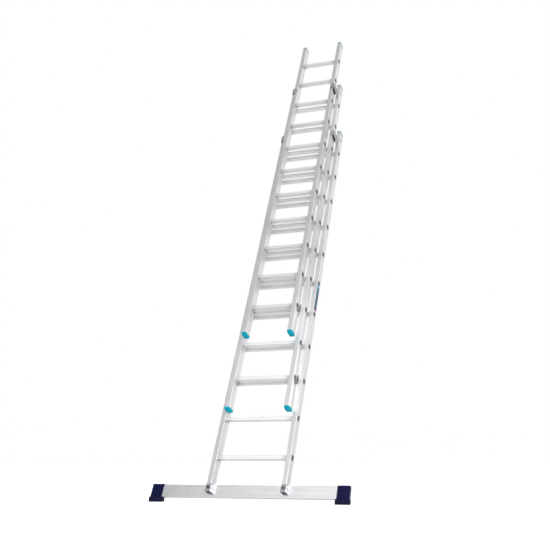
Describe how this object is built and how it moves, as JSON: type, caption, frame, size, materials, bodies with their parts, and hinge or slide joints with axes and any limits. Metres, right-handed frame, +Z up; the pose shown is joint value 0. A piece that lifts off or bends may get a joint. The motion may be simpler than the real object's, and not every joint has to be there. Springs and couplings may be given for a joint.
{
  "type": "extension ladder",
  "caption": "Three-section aluminium push-up extension ladder with box stiles, square rungs, top guides, gravity rung hooks and a wide stabiliser bar at its foot.",
  "frame": {"origin": "on the ground midway between the two feet, where the middle plane of the stabiliser bar meets it, with the ladder leaning at its working angle of 71 degrees", "axes": "+X to the climber's right, +Y away from the climber and towards the wall, +Z up"},
  "size_m": [1.278, 1.2528, 3.889],
  "materials": {
    "stile_aluminium": "extruded, lightly brushed along its length",
    "rung_aluminium": "extruded, grooved tread",
    "bar_aluminium": "extruded, satin",
    "teal_plastic": "moulded teal plastic",
    "navy_plastic": "moulded dark navy plastic",
    "black_plastic": "moulded black nylon",
    "sole_rubber": "grooved dark rubber",
    "guide_steel": "pressed steel strap, dull plated",
    "hook_steel": "stamped plate, zinc plated",
    "pin_steel": "zinc plated",
    "zinc_steel": "bright zinc plated",
    "rivet_aluminium": "dull formed rivet",
    "label": "blank coloured sticker without words"
  },
  "bodies": {
    "base_section": {"base_left_stile": "stile_aluminium", "base_right_stile": "stile_aluminium", "base_rungs": "rung_aluminium", "base_left_top_cap": "teal_plastic", "base_right_top_cap": "teal_plastic", "base_left_end_plug": "black_plastic", "base_right_end_plug": "black_plastic", "base_left_guide_bracket": "guide_steel", "base_right_guide_bracket": "guide_steel", "base_left_guide_liner": "black_plastic", "base_right_guide_liner": "black_plastic", "base_guide_rivets": "rivet_aluminium", "base_blank_label": "label", "base_foot_rivets": "rivet_aluminium", "stabiliser_bar": "bar_aluminium", "stabiliser_left_cap": "navy_plastic", "stabiliser_right_cap": "navy_plastic", "stabiliser_left_sole": "sole_rubber", "stabiliser_right_sole": "sole_rubber", "stabiliser_left_bracket": "zinc_steel", "stabiliser_right_bracket": "zinc_steel", "stabiliser_bolts": "zinc_steel", "stabiliser_nuts": "zinc_steel"},
    "middle_section": {"middle_left_stile": "stile_aluminium", "middle_right_stile": "stile_aluminium", "middle_rungs": "rung_aluminium", "middle_left_top_cap": "teal_plastic", "middle_right_top_cap": "teal_plastic", "middle_left_bottom_shoe": "teal_plastic", "middle_right_bottom_shoe": "teal_plastic", "middle_left_guide_bracket": "guide_steel", "middle_right_guide_bracket": "guide_steel", "middle_left_guide_liner": "black_plastic", "middle_right_guide_liner": "black_plastic", "middle_guide_rivets": "rivet_aluminium", "middle_hook_pins": "pin_steel", "middle_hook_stops": "pin_steel"},
    "fly_section": {"fly_left_stile": "stile_aluminium", "fly_right_stile": "stile_aluminium", "fly_rungs": "rung_aluminium", "fly_left_top_cap": "teal_plastic", "fly_right_top_cap": "teal_plastic", "fly_left_bottom_shoe": "teal_plastic", "fly_right_bottom_shoe": "teal_plastic", "fly_hook_pins": "pin_steel", "fly_hook_stops": "pin_steel"},
    "middle_left_hook": {"middle_left_rung_hook": "hook_steel"},
    "middle_right_hook": {"middle_right_rung_hook": "hook_steel"},
    "fly_left_hook": {"fly_left_rung_hook": "hook_steel"},
    "fly_right_hook": {"fly_right_rung_hook": "hook_steel"}
  },
  "joints": [
    {"name": "middle_slide", "type": "slide", "parent": "base_section", "child": "middle_section", "axis": [0, 0.3256, 0.9455], "range_m": [-0.508, 1.778]},
    {"name": "fly_slide", "type": "slide", "parent": "middle_section", "child": "fly_section", "axis": [0, 0.3256, 0.9455], "range_m": [-0.508, 1.778]},
    {"name": "middle_left_hook_pivot", "type": "hinge", "parent": "middle_section", "child": "middle_left_hook", "pos_m": [-0.22075, 0.19606, 0.73065], "axis": [1, 0, 0], "range_deg": [0, 42]},
    {"name": "middle_right_hook_pivot", "type": "hinge", "parent": "middle_section", "child": "middle_right_hook", "pos_m": [0.22075, 0.19606, 0.73065], "axis": [1, 0, 0], "range_deg": [0, 42]},
    {"name": "fly_left_hook_pivot", "type": "hinge", "parent": "fly_section", "child": "fly_left_hook", "pos_m": [-0.18075, 0.30472, 1.23051], "axis": [1, 0, 0], "range_deg": [0, 42]},
    {"name": "fly_right_hook_pivot", "type": "hinge", "parent": "fly_section", "child": "fly_right_hook", "pos_m": [0.18075, 0.30472, 1.23051], "axis": [1, 0, 0], "range_deg": [0, 42]}
  ]
}
